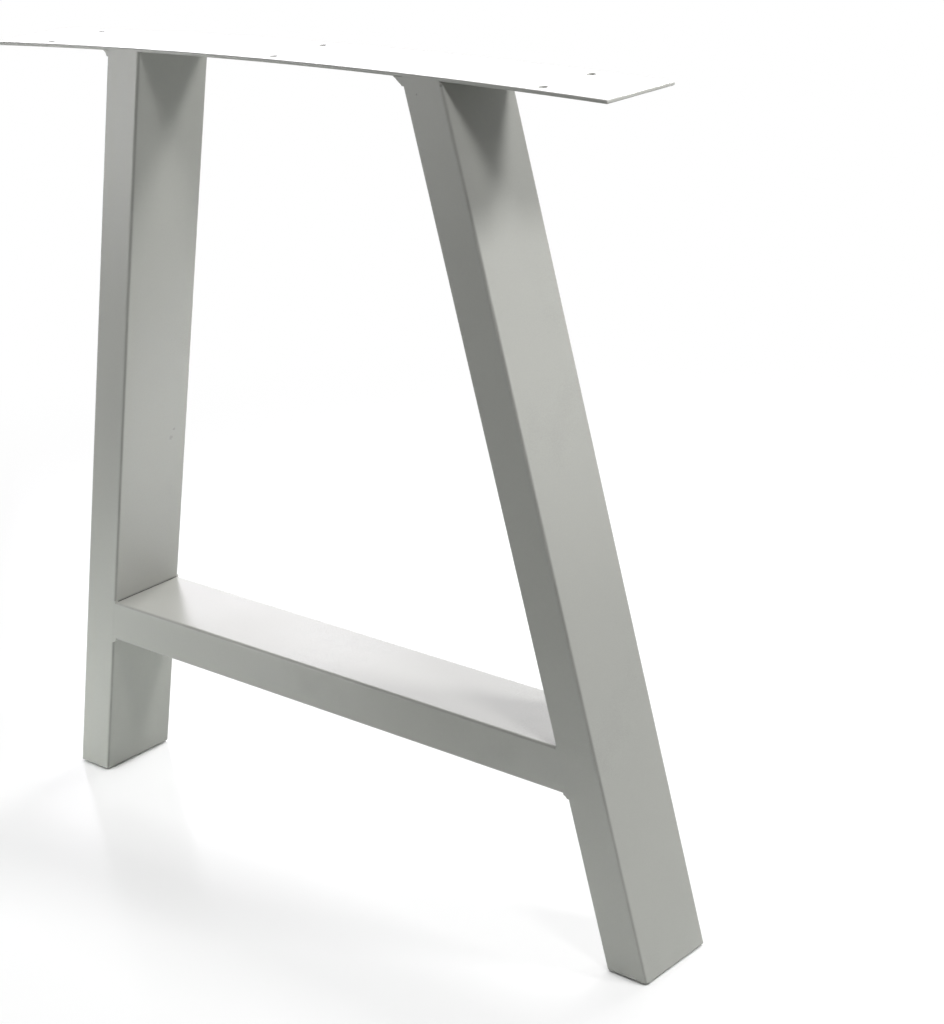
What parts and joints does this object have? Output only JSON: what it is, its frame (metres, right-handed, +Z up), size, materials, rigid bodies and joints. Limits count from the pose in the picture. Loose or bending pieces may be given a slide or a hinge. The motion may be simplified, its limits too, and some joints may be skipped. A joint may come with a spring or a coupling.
{
  "type": "steel table leg",
  "caption": "A-shaped welded steel table leg: two splayed rectangular tubes joined by a low crossbar under a flat screw-on top plate.",
  "frame": {"origin": "on the floor, midway between the two feet and in the middle of the tubes' depth", "axes": "+Z up; X across the A from foot to foot, +X towards the right leg as seen along +Y; Y through the depth of the tubes"},
  "size_m": [0.705, 0.08, 0.72],
  "materials": {
    "coated_steel": "satin silver-grey powder coat",
    "floor_pad": "matt dark grey"
  },
  "bodies": {
    "root": {"top_plate": "coated_steel", "crossbar": "coated_steel", "left_leg": "coated_steel", "right_leg": "coated_steel", "left_end_cap": "coated_steel", "right_end_cap": "coated_steel", "left_plate_weld": "coated_steel", "right_plate_weld": "coated_steel", "left_crossbar_weld": "coated_steel", "right_crossbar_weld": "coated_steel", "left_floor_pad": "floor_pad", "right_floor_pad": "floor_pad"}
  },
  "joints": []
}
